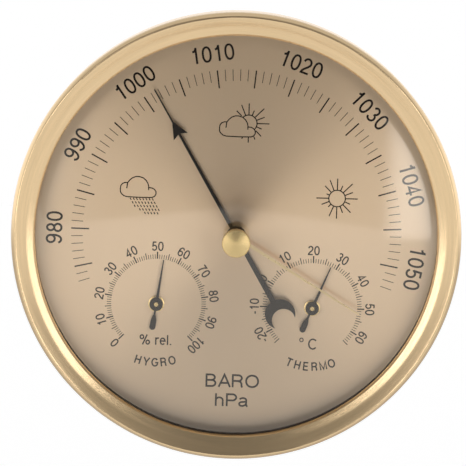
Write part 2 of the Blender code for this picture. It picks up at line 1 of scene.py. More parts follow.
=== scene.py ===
"""Looks of the wall barometer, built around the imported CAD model.

Shapes are drawn in the dial's own frame, in millimetres: X to the right, Y up the dial and Z from
the wall towards the reader. A mesh goes into the row frame as it is made, where -Y is Z here.
Angles on the dial are in degrees, clockwise from the top.
"""

import json
import math

import bmesh
import bpy
from mathutils import Matrix, Vector


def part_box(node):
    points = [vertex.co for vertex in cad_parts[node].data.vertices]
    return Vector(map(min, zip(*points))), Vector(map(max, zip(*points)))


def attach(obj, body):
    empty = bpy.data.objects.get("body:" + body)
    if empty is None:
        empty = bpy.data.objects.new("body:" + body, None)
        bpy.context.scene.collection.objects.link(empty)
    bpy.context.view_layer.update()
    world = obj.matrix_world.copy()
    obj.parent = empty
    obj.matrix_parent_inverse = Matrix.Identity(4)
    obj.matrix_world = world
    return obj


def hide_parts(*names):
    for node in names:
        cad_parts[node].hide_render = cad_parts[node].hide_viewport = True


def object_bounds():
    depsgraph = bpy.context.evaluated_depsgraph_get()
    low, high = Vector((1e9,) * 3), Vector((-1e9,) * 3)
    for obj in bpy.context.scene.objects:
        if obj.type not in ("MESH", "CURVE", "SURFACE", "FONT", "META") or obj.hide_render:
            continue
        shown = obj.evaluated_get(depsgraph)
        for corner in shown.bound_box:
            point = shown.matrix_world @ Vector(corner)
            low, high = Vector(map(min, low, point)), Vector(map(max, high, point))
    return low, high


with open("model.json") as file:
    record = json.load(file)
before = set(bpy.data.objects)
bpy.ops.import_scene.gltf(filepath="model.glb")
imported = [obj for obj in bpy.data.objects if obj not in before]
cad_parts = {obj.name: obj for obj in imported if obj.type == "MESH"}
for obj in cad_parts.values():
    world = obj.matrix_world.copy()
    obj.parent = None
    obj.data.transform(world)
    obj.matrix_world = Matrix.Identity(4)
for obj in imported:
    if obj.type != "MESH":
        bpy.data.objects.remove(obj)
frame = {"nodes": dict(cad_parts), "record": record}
cad_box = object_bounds()

MM = 0.001
TO_ROW = Matrix.Rotation(math.radians(90), 4, "X") @ Matrix.Scale(MM, 4)


# ---------------------------------------------------------------- sizes, from the frame

def extent(node):
    """A node's lowest and highest corner in the dial's frame, in millimetres."""
    low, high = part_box(node)
    return (
        Vector((low.x, low.z, -high.y)) / MM,
        Vector((high.x, high.z, -low.y)) / MM,
    )


def middle(node):
    """The middle of a node, as the dial shows it."""
    low, high = extent(node)
    return ((low.x + high.x) / 2, (low.y + high.y) / 2)


BEZEL_LOW, BEZEL_HIGH = extent("bezel")
BEZEL_RADIUS = BEZEL_HIGH.x
CROWN = BEZEL_HIGH.z
SKIRT_BACK = BEZEL_LOW.z
RING_WIDTH = 7.0
OPENING_RADIUS = BEZEL_RADIUS - RING_WIDTH
SEAT_RADIUS = extent("crystal")[1].x
DIAL_FACE = extent("dial_plate")[1].z
DIAL_BACK = extent("dial_plate")[0].z
CRYSTAL_BACK = extent("crystal")[0].z
CRYSTAL_APEX = extent("crystal")[1].z
KNOB_LOW, KNOB_HIGH = extent("set_knob")
RING_LOW, RING_HIGH = extent("dial_ring")
CASE_HIGH = extent("rear_case")[1]
CASE_SCREWS = ("case_screw_1", "case_screw_2", "case_screw_3")
SUB_DIALS = {name: Vector(middle(name + "_bush")) for name in ("hygro", "thermo")}

# Heights above the dial's face
LIP_HEIGHT = 6.5
PRESSURE_HAND_HEIGHT = 2.7
SMALL_HAND_HEIGHT = 1.0
HAND_SHEET = 0.4
INK_HEIGHT = 0.02

# Degrees on the dial for one unit of a scale, the unit at the top, and what each hand shows
HPA_STEP = 2.7087
HPA_TOP = 1013
HPA_RANGE = (973, 1053)
BARO_READING = 1001.7
HYGRO_STEP = 2.7
HYGRO_TOP = 50
HYGRO_READING = 53.0
THERMO_STEP = 3.0
THERMO_TOP = 20
THERMO_READING = 27.5
SET_HAND_ANGLE = 121.0

# How many degrees some numbers are printed off their tick
LABEL_SHIFT = {990: 0.5, 1010: -0.95, 1020: 0.25, 1030: -0.75, 1040: -0.6, 1050: -0.9}


# ---------------------------------------------------------------- mesh helpers

def new_object(name, body_mesh, smooth_angle=35):
    """Turns a bmesh in the dial's frame into an object in the row frame."""
    mesh = bpy.data.meshes.new(name)
    body_mesh.to_mesh(mesh)
    body_mesh.free()
    mesh.transform(TO_ROW)
    mesh.shade_smooth()
    mesh.set_sharp_from_angle(angle=math.radians(smooth_angle))
    obj = bpy.data.objects.new(name, mesh)
    bpy.context.scene.collection.objects.link(obj)
    return obj


def lathe(body_mesh, profile, steps, centre=(0, 0), closed=False):
    """Adds a profile of (radius, height) points turned about Z, its outer side listed top to bottom."""
    rings = []
    for radius, height in profile:
        if radius < 1e-6:
            rings.append([body_mesh.verts.new((centre[0], centre[1], height))])
            continue
        ring = []
        for i in range(steps):
            angle = 2 * math.pi * i / steps
            ring.append(body_mesh.verts.new((
                centre[0] + radius * math.cos(angle),
                centre[1] + radius * math.sin(angle),
                height,
            )))
        rings.append(ring)
    pairs = list(zip(rings, rings[1:]))
    if closed:
        pairs.append((rings[-1], rings[0]))
    for upper, lower in pairs:
        for i in range(steps):
            j = (i + 1) % steps
            quad = [upper[i % len(upper)], lower[i % len(lower)]]
            quad += [lower[j % len(lower)], upper[j % len(upper)]]
            face = [v for k, v in enumerate(quad) if v is not quad[k - 1]]
            if len(face) > 2:
                body_mesh.faces.new(face)


def turned(name, profile, steps, centre=(0, 0), closed=False, smooth_angle=35):
    """An object made of one turned profile."""
    body_mesh = bmesh.new()
    lathe(body_mesh, profile, steps, centre, closed)
    return new_object(name, body_mesh, smooth_angle)


def prism(body_mesh, outline, bottom, top, holes=()):
    """Adds a flat plate with an outline and holes, as one closed solid."""
    loops = [outline, *holes]
    rims = []
    for height in (bottom, top):
        rims.append([[body_mesh.verts.new((x, y, height)) for x, y in loop] for loop in loops])
    for low_loop, high_loop in zip(*rims):
        count = len(low_loop)
        for i in range(count):
            j = (i + 1) % count
            body_mesh.faces.new((low_loop[i], low_loop[j], high_loop[j], high_loop[i]))
    for rim in rims:
        edges = []
        for loop in rim:
            for i, vert in enumerate(loop):
                edges.append(body_mesh.edges.get((vert, loop[(i + 1) % len(loop)])))
        bmesh.ops.triangle_fill(body_mesh, use_beauty=True, use_dissolve=False, edges=edges)


def turn_point(point, angle, centre):
    """A point drawn upright about the origin, turned clockwise and moved to a centre."""
    a = math.radians(angle)
    x, y = point
    return (
        centre[0] + x * math.cos(a) + y * math.sin(a),
        centre[1] + y * math.cos(a) - x * math.sin(a),
    )


def arc(radius, start, end, steps, x=0.0, y=0.0):
    """Points on an arc, at angles clockwise from +Y."""
    angles = [math.radians(start + (end - start) * i / steps) for i in range(steps + 1)]
    return [(x + radius * math.sin(a), y + radius * math.cos(a)) for a in angles]


def circle(radius, x=0.0, y=0.0, count=48):
    return arc(radius, 0, 360 - 360 / count, count - 1, x, y)


def fillet(points, radius, steps=5):
    """An open profile with its inner corners rounded to a radius."""
    rounded = [points[0]]
    for before, corner, after in zip(points, points[1:], points[2:]):
        p, c, n = Vector(before), Vector(corner), Vector(after)
        reach = min(radius, (p - c).length * 0.45, (n - c).length * 0.45)
        start = c + (p - c).normalized() * reach
        end = c + (n - c).normalized() * reach
        for i in range(steps + 1):
            t = i / steps
            point = start * (1 - t) ** 2 + c * 2 * t * (1 - t) + end * t ** 2
            rounded.append((point.x, point.y))
    rounded.append(points[-1])
    return rounded


def bevelled(obj, width, segments=2):
    """A small rounded edge all round a piece."""
    bevel = obj.modifiers.new("Edge", "BEVEL")
    bevel.width = width * MM
    bevel.segments = segments
    bevel.limit_method = "ANGLE"
    bevel.angle_limit = math.radians(40)
    return obj


# ---------------------------------------------------------------- materials

def new_material(name, colour, roughness, metallic=0.0, **sockets):
    """A Principled material. The rest of its sockets are given by name, with _ for a space."""
    material = bpy.data.materials.new(name)
    material.use_nodes = True
    shader = material.node_tree.nodes["Principled BSDF"]
    shader.inputs["Base Color"].default_value = (*colour, 1)
    shader.inputs["Roughness"].default_value = roughness
    shader.inputs["Metallic"].default_value = metallic
    for socket, value in sockets.items():
        shader.inputs[socket.replace("_", " ")].default_value = value
    return material, material.node_tree, shader


def add_node(tree, kind, **settings):
    node = tree.nodes.new(kind)
    for key, value in settings.items():
        if key in node.inputs:
            node.inputs[key].default_value = value
        else:
            setattr(node, key, value)
    return node


def math_node(tree, operation, first, second=None):
    node = tree.nodes.new("ShaderNodeMath")
    node.operation = operation
    for i, value in enumerate((first, second)):
        if value is None:
            continue
        if isinstance(value, (int, float)):
            node.inputs[i].default_value = value
        else:
            tree.links.new(value, node.inputs[i])
    return node.outputs[0]


def turned_coordinates(tree, along, around):
    """Coordinates that run with a lathe's tool: radius, angle and depth about the Y axis."""
    position = add_node(tree, "ShaderNodeTexCoord").outputs["Object"]
    split = tree.nodes.new("ShaderNodeSeparateXYZ")
    tree.links.new(position, split.inputs[0])
    x, z = split.outputs["X"], split.outputs["Z"]
    squares = math_node(tree, "ADD", math_node(tree, "MULTIPLY", x, x), math_node(tree, "MULTIPLY", z, z))
    radius = math_node(tree, "SQRT", squares)
    angle = math_node(tree, "ARCTAN2", x, z)
    join = tree.nodes.new("ShaderNodeCombineXYZ")
    tree.links.new(math_node(tree, "MULTIPLY", radius, along), join.inputs["X"])
    tree.links.new(math_node(tree, "MULTIPLY", angle, around), join.inputs["Y"])
    tree.links.new(math_node(tree, "MULTIPLY", split.outputs["Y"], 1000.0), join.inputs["Z"])
    return join.outputs[0]


def noise(tree, coordinates, scale, detail, low=0.0, high=1.0):
    """A noise texture, spread over the values from low to high."""
    texture = add_node(tree, "ShaderNodeTexNoise", Scale=scale, Detail=detail, Roughness=0.55)
    tree.links.new(coordinates, texture.inputs["Vector"])
    spread = add_node(tree, "ShaderNodeMapRange")
    spread.inputs["From Min"].default_value = 0.3
    spread.inputs["From Max"].default_value = 0.7
    spread.inputs["To Min"].default_value = low
    spread.inputs["To Max"].default_value = high
    tree.links.new(texture.outputs["Fac"], spread.inputs["Value"])
    return spread.outputs[0]


def object_coordinates(tree):
    return add_node(tree, "ShaderNodeTexCoord").outputs["Object"]


def bump(tree, shader, height, distance):
    node = add_node(tree, "ShaderNodeBump", Strength=1.0, Distance=distance)
    tree.links.new(height, node.inputs["Height"])
    tree.links.new(node.outputs[0], shader.inputs["Normal"])


def uneven_roughness(tree, shader, texture, least, spread):
    rough = math_node(tree, "ADD", math_node(tree, "MULTIPLY", texture, spread), least)
    tree.links.new(rough, shader.inputs["Roughness"])


def colour_mix(tree, shader, factor, dark, light):
    mix = tree.nodes.new("ShaderNodeMix")
    mix.data_type = "RGBA"
    mix.inputs["A"].default_value = (*dark, 1)
    mix.inputs["B"].default_value = (*light, 1)
    tree.links.new(factor, mix.inputs["Factor"])
    tree.links.new(mix.outputs["Result"], shader.inputs["Base Color"])


def shade(colour, factor):
    return tuple(min(1.0, value * factor) for value in colour)


def radial_tangent(tree, shader):
    """Sets the grain of a turned piece to run round an axis along Y."""
    tangent = tree.nodes.new("ShaderNodeTangent")
    tangent.direction_type = "RADIAL"
    tangent.axis = "Y"
    tree.links.new(tangent.outputs[0], shader.inputs["Tangent"])
    shader.inputs["Anisotropic Rotation"].default_value = 0.25


def spun_metal(name, colour, roughness, anisotropic):
    """Metal turned on a lathe: fine grooves round an axis along Y, and a highlight across them."""
    material, tree, shader = new_material(name, colour, roughness, 1.0, Anisotropic=anisotropic)
    radial_tangent(tree, shader)
    fine = noise(tree, turned_coordinates(tree, along=1000.0, around=1.2), 7.0, 4.0)
    broad = noise(tree, turned_coordinates(tree, along=220.0, around=1.5), 2.0, 2.0)
    uneven_roughness(tree, shader, fine, roughness - 0.03, 0.06)
    colour_mix(tree, shader, broad, shade(colour, 0.95), shade(colour, 1.03))
    bump(tree, shader, fine, 0.000012)
    return material


def dial_lacquer():
    """Champagne metallic lacquer over a plate brushed in circles about the dial's centre."""
    colour = (0.840, 0.616, 0.401)
    coat = {"Coat_Weight": 1.0, "Coat_Roughness": 0.12, "Coat_IOR": 1.6}
    material, tree, shader = new_material("dial_lacquer", colour, 0.36, 1.0, Anisotropic=0.85, **coat)
    radial_tangent(tree, shader)
    brushed = noise(tree, turned_coordinates(tree, along=1000.0, around=1.5), 8.0, 3.0)
    flake = noise(tree, object_coordinates(tree), 9000.0, 1.0)
    uneven_roughness(tree, shader, brushed, 0.33, 0.06)
    colour_mix(tree, shader, flake, shade(colour, 0.97), shade(colour, 1.03))
    bump(tree, shader, brushed, 0.000003)
    return material


def hand_enamel():
    """Stoved black enamel with a faint orange peel."""
    colour = (0.011, 0.007, 0.005)
    material, tree, shader = new_material("hand_enamel", colour, 0.35, 0.0, Specular_IOR_Level=0.2)
    peel = noise(tree, object_coordinates(tree), 900.0, 2.0)
    uneven_roughness(tree, shader, peel, 0.3, 0.1)
    colour_mix(tree, shader, peel, shade(colour, 0.8), shade(colour, 1.25))
    bump(tree, shader, peel, 0.000006)
    return material


def printing_ink():
    """Matt brown-black ink with a fine grain."""
    dark, light = (0.009, 0.003, 0.001), (0.017, 0.007, 0.004)
    material, tree, shader = new_material("printing_ink", dark, 0.5, 0.0, Specular_IOR_Level=0.05)
    grain = noise(tree, object_coordinates(tree), 2500.0, 2.0)
    colour_mix(tree, shader, grain, dark, light)
    uneven_roughness(tree, shader, grain, 0.42, 0.15)
    return material


def machined_metal(name, colour, roughness, scale=500.0):
    """Sheet or bar metal with fine grinding marks and a little uneven tarnish."""
    material, tree, shader = new_material(name, colour, roughness, 1.0)
    marks = noise(tree, object_coordinates(tree), scale, 4.0)
    tarnish = noise(tree, object_coordinates(tree), 90.0, 3.0)
    uneven_roughness(tree, shader, marks, roughness - 0.07, 0.14)
    colour_mix(tree, shader, tarnish, shade(colour, 0.92), shade(colour, 1.04))
    bump(tree, shader, marks, 0.000006)
    return material


def textured_lacquer():
    """Semi-matt black stoving lacquer of the case, with a fine texture."""
    colour = (0.022, 0.021, 0.020)
    coat = {"Coat_Weight": 0.15, "Coat_Roughness": 0.4}
    material, tree, shader = new_material("case_lacquer", colour, 0.45, 0.0, **coat)
    peel = noise(tree, object_coordinates(tree), 1600.0, 3.0)
    dust = noise(tree, object_coordinates(tree), 40.0, 4.0)
    colour_mix(tree, shader, dust, shade(colour, 0.85), shade(colour, 1.35))
    uneven_roughness(tree, shader, peel, 0.38, 0.16)
    bump(tree, shader, peel, 0.00003)
    return material


def matt_plastic(name, colour, roughness=0.6):
    """Moulded plastic or rubber with a fine grain."""
    material, tree, shader = new_material(name, colour, roughness)
    texture = noise(tree, object_coordinates(tree), 1500.0, 2.0)
    colour_mix(tree, shader, texture, shade(colour, 0.85), shade(colour, 1.2))
    uneven_roughness(tree, shader, texture, roughness - 0.06, 0.12)
    bump(tree, shader, texture, 0.00001)
    return material


def clear_window():
    """A clear moulded window. What is behind shows unbent, and lamps reach the dial through it."""
    material = bpy.data.materials.new("clear_window")
    material.use_nodes = True
    tree = material.node_tree
    tree.nodes.clear()
    output = tree.nodes.new("ShaderNodeOutputMaterial")
    clear = tree.nodes.new("ShaderNodeBsdfTransparent")
    clear.inputs["Color"].default_value = (0.985, 0.988, 0.985, 1)
    gloss = tree.nodes.new("ShaderNodeBsdfGlossy")
    gloss.inputs["Color"].default_value = (1.0, 0.94, 0.86, 1)
    haze = noise(tree, object_coordinates(tree), 55.0, 3.0, 0.02, 0.05)
    tree.links.new(haze, gloss.inputs["Roughness"])
    edge = add_node(tree, "ShaderNodeFresnel", IOR=1.49)
    facing = add_node(tree, "ShaderNodeNewGeometry").outputs["Backfacing"]
    front = math_node(tree, "SUBTRACT", 1.0, facing)
    both_faces = math_node(tree, "MULTIPLY", math_node(tree, "MULTIPLY", edge.outputs[0], front), 2.4)
    mix = tree.nodes.new("ShaderNodeMixShader")
    tree.links.new(both_faces, mix.inputs["Fac"])
    tree.links.new(clear.outputs[0], mix.inputs[1])
    tree.links.new(gloss.outputs[0], mix.inputs[2])
    tree.links.new(mix.outputs[0], output.inputs["Surface"])
    return material


gold = spun_metal("gold_anodised", (0.90, 0.665, 0.39), 0.20, 0.4)
knob_brass = spun_metal("knob_brass", (0.86, 0.64, 0.31), 0.22, 0.93)
lacquer = dial_lacquer()
ink = printing_ink()
black = hand_enamel()
brass = machined_metal("brass_sheet", (0.80, 0.58, 0.27), 0.28)
hand_brass = machined_metal("brass_hand", (0.86, 0.66, 0.36), 0.3)
steel = machined_metal("steel", (0.56, 0.56, 0.57), 0.3)
zinc = machined_metal("zinc_plating", (0.42, 0.41, 0.40), 0.36, 900.0)
copper_alloy = machined_metal("beryllium_copper", (0.80, 0.56, 0.38), 0.27, 300.0)
case_lacquer = textured_lacquer()
black_plastic = matt_plastic("black_plastic", (0.016, 0.015, 0.014))
rubber = matt_plastic("rubber", (0.025, 0.025, 0.025), 0.8)
window = clear_window()


def finish_piece(obj, material, body, slot, *nodes):
    obj.data.materials.clear()
    obj.data.materials.append(material)
    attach(obj, body)
    if nodes:
        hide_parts(*nodes)
    return obj


# ---------------------------------------------------------------- case and front

# Slope of the ring's front in degrees at each radius, rising outward where it is positive.
FACE_SLOPES = (
    (59.0, 84), (59.1, 66), (59.2, 53), (59.5, 44), (59.6, 22), (59.7, 18), (60.9, 18), (61.3, 22),
    (61.7, 31), (62.1, 36), (62.6, 36), (63.2, 34), (63.8, 31), (64.2, 28), (64.35, 14), (64.5, -4),
    (64.65, -22), (64.85, -40), (65.1, -55), (65.5, -62), (65.8, -74), (65.95, -85),
)


def rolled_face(slopes, steps=4):
    """The front's profile, summed up from its slopes and with its ridge at the crown."""
    points = [(slopes[0][0], 0.0)]
    for (start, slope), (end, next_slope) in zip(slopes, slopes[1:]):
        for i in range(steps):
            rise = math.tan(math.radians(slope + (next_slope - slope) * (i + 0.5) / steps))
            width = (end - start) / steps
            radius, height = points[-1]
            points.append((radius + width, height + width * rise))
    raised = CROWN - max(height for radius, height in points)
    return [(radius, height + raised) for radius, height in points]


def keyhole():
    """The outline of a round entry with a narrower slot above it."""
    entry_y, entry_radius = 46.5, 4.5
    slot_y, half_slot = 52.0, 2.5
    meet = math.degrees(math.asin(half_slot / entry_radius))
    outline = arc(entry_radius, meet, 360 - meet, 40, 0, entry_y)
    return outline + arc(half_slot, -90, 90, 14, 0, slot_y)


def vent(x, y):
    """The outline of a vent slot with round ends."""
    reach, radius = 6.0, 1.0
    return arc(radius, 0, 180, 10, x + reach, y) + arc(radius, 180, 360, 10, x - reach, y)


def make_rear_case():
    """Deep-drawn pan: a flange, a rounded back, pressed screw seats, a keyhole and vents."""
    sheet, corner = 0.9, 5.0
    rim, flange = CASE_HIGH.z, CASE_HIGH.x
    wall = flange - 3.3
    flat_radius = wall - corner - 2
    profile = [(wall - sheet, rim), (flange, rim)]
    profile += fillet([(flange, rim - sheet), (wall, rim - sheet), (wall, corner)], 0.8)
    profile += arc(corner, 90, 180, 10, wall - corner, corner)[1:]
    profile += [(flat_radius, 0), (flat_radius, sheet)]
    profile += arc(corner - sheet, 180, 90, 10, wall - corner, corner)
    body_mesh = bmesh.new()
    lathe(body_mesh, profile, 192, closed=True)
    seats = [middle(name) for name in CASE_SCREWS]
    holes = [keyhole(), circle(3.2, *middle("calibration_screw"))]
    holes += [circle(4.2, *seat) for seat in seats]
    holes += [vent(x, y + row) for x, y in SUB_DIALS.values() for row in (-5.5, 0, 5.5)]
    prism(body_mesh, circle(flat_radius, count=192), 0, sheet, holes)
    seat_profile = [(1.3, 2.5), (5.0, 2.5), (5.0, sheet), (4.2, sheet)]
    seat_profile += arc(0.4, 180, 270, 4, 4.2, 0.4) + [(3.8, 1.6), (1.3, 1.6)]
    for seat in seats:
        lathe(body_mesh, seat_profile, 48, seat, closed=True)
    bmesh.ops.recalc_face_normals(body_mesh, faces=body_mesh.faces)
    shell = new_object("case_shell", body_mesh)
    finish_piece(shell, case_lacquer, "case", "case_lacquer", "rear_case")


def make_back_screw(node, body, shank, slot_angle):
    """A slotted cheese-head screw with its head to the wall."""
    low, high = extent(node)
    centre = middle(node)
    radius = (high.x - low.x) / 2
    head, floor, half_slot = low.z + 1.0, low.z + 0.75, 0.5
    body_mesh = bmesh.new()
    profile = [(0, high.z), (shank, high.z), (shank, head), (radius, head), (radius, floor), (0, floor)]
    lathe(body_mesh, profile, 48, centre)
    edge = math.degrees(math.asin(half_slot / radius))
    for side in (0, 180):
        cheek = arc(radius, side + edge, side + 180 - edge, 22)
        prism(body_mesh, [turn_point(p, slot_angle, centre) for p in cheek], low.z, floor)
    bmesh.ops.recalc_face_normals(body_mesh, faces=body_mesh.faces)
    screw = bevelled(new_object(node + "_slotted", body_mesh), 0.2, 3)
    finish_piece(screw, zinc, body, "steel", node)


def make_bezel():
    """Spun ring: a steep lip, a dished face, a ridge near its edge and a rounded flank."""
    lip = DIAL_FACE + LIP_HEIGHT
    sheet, corner = 0.8, 0.35
    inner_skirt = BEZEL_RADIUS - sheet
    roll = 63.4
    outer = [(OPENING_RADIUS, lip)] + rolled_face(FACE_SLOPES) + [(BEZEL_RADIUS, CROWN - 3.2)]
    back = [(BEZEL_RADIUS, SKIRT_BACK + corner), (BEZEL_RADIUS - corner, SKIRT_BACK)]
    back += [(roll + 0.2, SKIRT_BACK), (roll, SKIRT_BACK + sheet / 2), (roll + 0.2, SKIRT_BACK + sheet)]
    back += [(inner_skirt, SKIRT_BACK + sheet), (inner_skirt, CROWN - 2.3)]
    back += [(64.7, CROWN - 1.3), (64.3, CROWN - 0.9)]
    back += [(63.6, CROWN - 1.1), (62.5, CROWN - 1.75), (61.3, CROWN - 2.4), (60.3, CROWN - 2.65)]
    back += [(59.95, CROWN - 3.0), (59.75, lip)]
    bezel = turned("bezel_ring", outer + back, 256, closed=True, smooth_angle=40)
    finish_piece(bezel, gold, "case", "gold_aluminium", "bezel")


def make_crystal():
    """Domed window with a flat flange and a hole for the knob's shaft."""
    edge = OPENING_RADIUS - 0.6
    flange = CRYSTAL_BACK + 1.0
    rise = CRYSTAL_APEX - flange
    sphere = (edge * edge + rise * rise) / (2 * rise)
    hole = 1.6
    radii = [hole + (edge - hole) * i / 24 for i in range(25)]

    def dome(radius):
        return rise - sphere + math.sqrt(sphere * sphere - radius * radius)

    profile = [(r, flange + dome(r)) for r in radii]
    profile += [(SEAT_RADIUS, flange), (SEAT_RADIUS, CRYSTAL_BACK)]
    profile += [(r, CRYSTAL_BACK + dome(r)) for r in reversed(radii)]
    crystal = turned("domed_window", profile, 192, closed=True)
    finish_piece(crystal, window, "case", "clear_acrylic", "crystal")


def make_dial():
    """Dial plate, the dark spacer wall in front of it and a bush in each small dial."""
    body_mesh = bmesh.new()
    holes = [circle(2.0)] + [circle(1.9, *centre) for centre in SUB_DIALS.values()]
    prism(body_mesh, circle(SEAT_RADIUS, count=192), DIAL_BACK, DIAL_FACE, holes)
    bmesh.ops.recalc_face_normals(body_mesh, faces=body_mesh.faces)
    finish_piece(new_object("dial_face", body_mesh), lacquer, "case", "champagne_dial", "dial_plate")
    wall = [(59.5, RING_HIGH.z), (SEAT_RADIUS, RING_HIGH.z), (SEAT_RADIUS, RING_LOW.z)]
    wall += [(59.5, RING_LOW.z)]
    ring = turned("spacer_ring", wall, 192, closed=True)
    finish_piece(ring, black_plastic, "case", "black_plastic", "dial_ring")
    for name, centre in SUB_DIALS.items():
        low, high = extent(name + "_bush")
        profile = [(0.95, high.z), (2.1, high.z), (2.4, high.z - 0.12), (2.4, DIAL_FACE + 0.3)]
        profile += [(1.5, DIAL_FACE + 0.3), (1.5, low.z), (0.95, low.z)]
        bush = turned(name + "_bushing", profile, 64, centre, closed=True)
        finish_piece(bush, brass, "case", "brass", name + "_bush")


# ---------------------------------------------------------------- printing

def bow(cx, cy, rx, ry, start, end, steps=14):
    """Points on an oval arc, at angles anticlockwise from +X."""
    angles = [math.radians(start + (end - start) * i / steps) for i in range(steps + 1)]
    return [(cx + rx * math.cos(a), cy + ry * math.sin(a)) for a in angles]


def oval(cx, cy, rx, ry, squareness=1.0, steps=28):
    """A closed oval. Squareness over 1 fills its corners."""
    points = []
    for i in range(steps + 1):
        a = 2 * math.pi * i / steps
        c, s = math.cos(a), math.sin(a)
        points.append((
            cx + rx * math.copysign(abs(c) ** (1 / squareness), c),
            cy + ry * math.copysign(abs(s) ** (1 / squareness), s),
        ))
    return points


def half_turned(strokes, width):
    return [[(width - x, 1 - y) for x, y in stroke] for stroke in strokes]


SIX = [
    oval(0.375, 0.30, 0.24, 0.25),
    bow(0.41, 0.50, 0.28, 0.447, 38, 178) + [(0.135, 0.34)],
]

# Each letter is its advance and the middle lines of its strokes, for a cap height of 1.
GLYPHS = {
    " ": (0.36, []),
    "0": (0.74, [oval(0.37, 0.5, 0.25, 0.445, 1.12)]),
    "1": (0.74, [[(0.43, 0.0), (0.43, 1.0)], [(0.20, 0.745), (0.31, 0.77), (0.39, 0.85), (0.43, 0.97)]]),
    "2": (0.74, [bow(0.37, 0.70, 0.235, 0.245, 170, -28)
                 + [(0.46, 0.45), (0.29, 0.31), (0.17, 0.18), (0.13, 0.055), (0.62, 0.055)]]),
    "3": (0.74, [bow(0.36, 0.725, 0.205, 0.22, 160, -80), bow(0.365, 0.28, 0.24, 0.225, 88, -165)]),
    "4": (0.74, [[(0.47, 0.0), (0.47, 0.92), (0.11, 0.285), (0.66, 0.285)]]),
    "5": (0.74, [[(0.58, 0.945), (0.225, 0.945), (0.165, 0.50)]
                 + bow(0.365, 0.325, 0.245, 0.27, 142, -160)]),
    "6": (0.74, SIX),
    "7": (0.74, [[(0.12, 0.94), (0.61, 0.94), (0.45, 0.70), (0.34, 0.42), (0.28, 0.0)]]),
    "8": (0.74, [oval(0.37, 0.725, 0.2, 0.22), oval(0.37, 0.28, 0.24, 0.225)]),
    "9": (0.74, half_turned(SIX, 0.74)),
    "-": (0.46, [[(0.08, 0.38), (0.38, 0.38)]]),
    "%": (1.02, [oval(0.24, 0.76, 0.15, 0.19), oval(0.76, 0.24, 0.15, 0.19),
                 [(0.30, 0.0), (0.70, 1.0)]]),
    ".": (0.30, [[(0.14, 0.0), (0.14, 0.12)]]),
    "°": (0.42, [oval(0.2, 0.80, 0.13, 0.14)]),
    "A": (0.74, [[(0.04, 0.0), (0.37, 0.97), (0.70, 0.0)], [(0.155, 0.32), (0.585, 0.32)]]),
    "B": (0.78, [[(0.11, 0.50), (0.11, 0.945), (0.39, 0.945)] + bow(0.39, 0.735, 0.2, 0.21, 80, -90)
                 + [(0.11, 0.525)],
                 [(0.39, 0.525)] + bow(0.41, 0.29, 0.22, 0.235, 90, -90)
                 + [(0.11, 0.055), (0.11, 0.55)]]),
    "C": (0.82, [bow(0.43, 0.5, 0.345, 0.445, 42, 318, 20)]),
    "E": (0.72, [[(0.63, 0.055), (0.11, 0.055), (0.11, 0.945), (0.61, 0.945)],
                 [(0.11, 0.515), (0.57, 0.515)]]),
    "G": (0.86, [bow(0.43, 0.5, 0.345, 0.445, 40, 325, 20) + [(0.755, 0.46), (0.46, 0.46)]]),
    "H": (0.78, [[(0.12, 0.0), (0.12, 1.0)], [(0.66, 0.0), (0.66, 1.0)], [(0.12, 0.515), (0.66, 0.515)]]),
    "M": (0.92, [[(0.11, 0.0), (0.11, 0.95), (0.46, 0.06), (0.81, 0.95), (0.81, 0.0)]]),
    "O": (0.86, [oval(0.43, 0.5, 0.345, 0.445, 1.05)]),
    "P": (0.73, [[(0.11, 0.0), (0.11, 0.945), (0.42, 0.945)] + bow(0.42, 0.705, 0.215, 0.24, 85, -90)
                 + [(0.11, 0.465)]]),
    "R": (0.80, [[(0.11, 0.0), (0.11, 0.945), (0.42, 0.945)] + bow(0.42, 0.72, 0.21, 0.225, 85, -90)
                 + [(0.11, 0.495)],
                 [(0.42, 0.495), (0.56, 0.43), (0.615, 0.30), (0.625, 0.10), (0.66, 0.0)]]),
    "T": (0.70, [[(0.03, 0.945), (0.67, 0.945)], [(0.35, 0.945), (0.35, 0.0)]]),
    "Y": (0.74, [[(0.04, 1.0), (0.37, 0.43), (0.70, 1.0)], [(0.37, 0.43), (0.37, 0.0)]]),
    "a": (0.62, [bow(0.29, 0.515, 0.185, 0.16, 165, 0) + [(0.475, 0.13), (0.505, 0.05), (0.56, 0.045)],
                 [(0.475, 0.40), (0.30, 0.365)] + bow(0.245, 0.205, 0.165, 0.155, 100, 290)
                 + [(0.41, 0.12), (0.475, 0.23)]]),
    "e": (0.60, [[(0.095, 0.385), (0.505, 0.385)] + bow(0.30, 0.365, 0.205, 0.31, 5, 318)]),
    "h": (0.60, [[(0.09, 0.0), (0.09, 1.0)],
                 [(0.09, 0.43)] + bow(0.285, 0.46, 0.195, 0.215, 165, 0) + [(0.48, 0.0)]]),
    "l": (0.26, [[(0.13, 0.0), (0.13, 1.0)]]),
    "r": (0.40, [[(0.09, 0.0), (0.09, 0.73)], [(0.09, 0.45), (0.13, 0.60), (0.22, 0.67), (0.37, 0.675)]]),
}


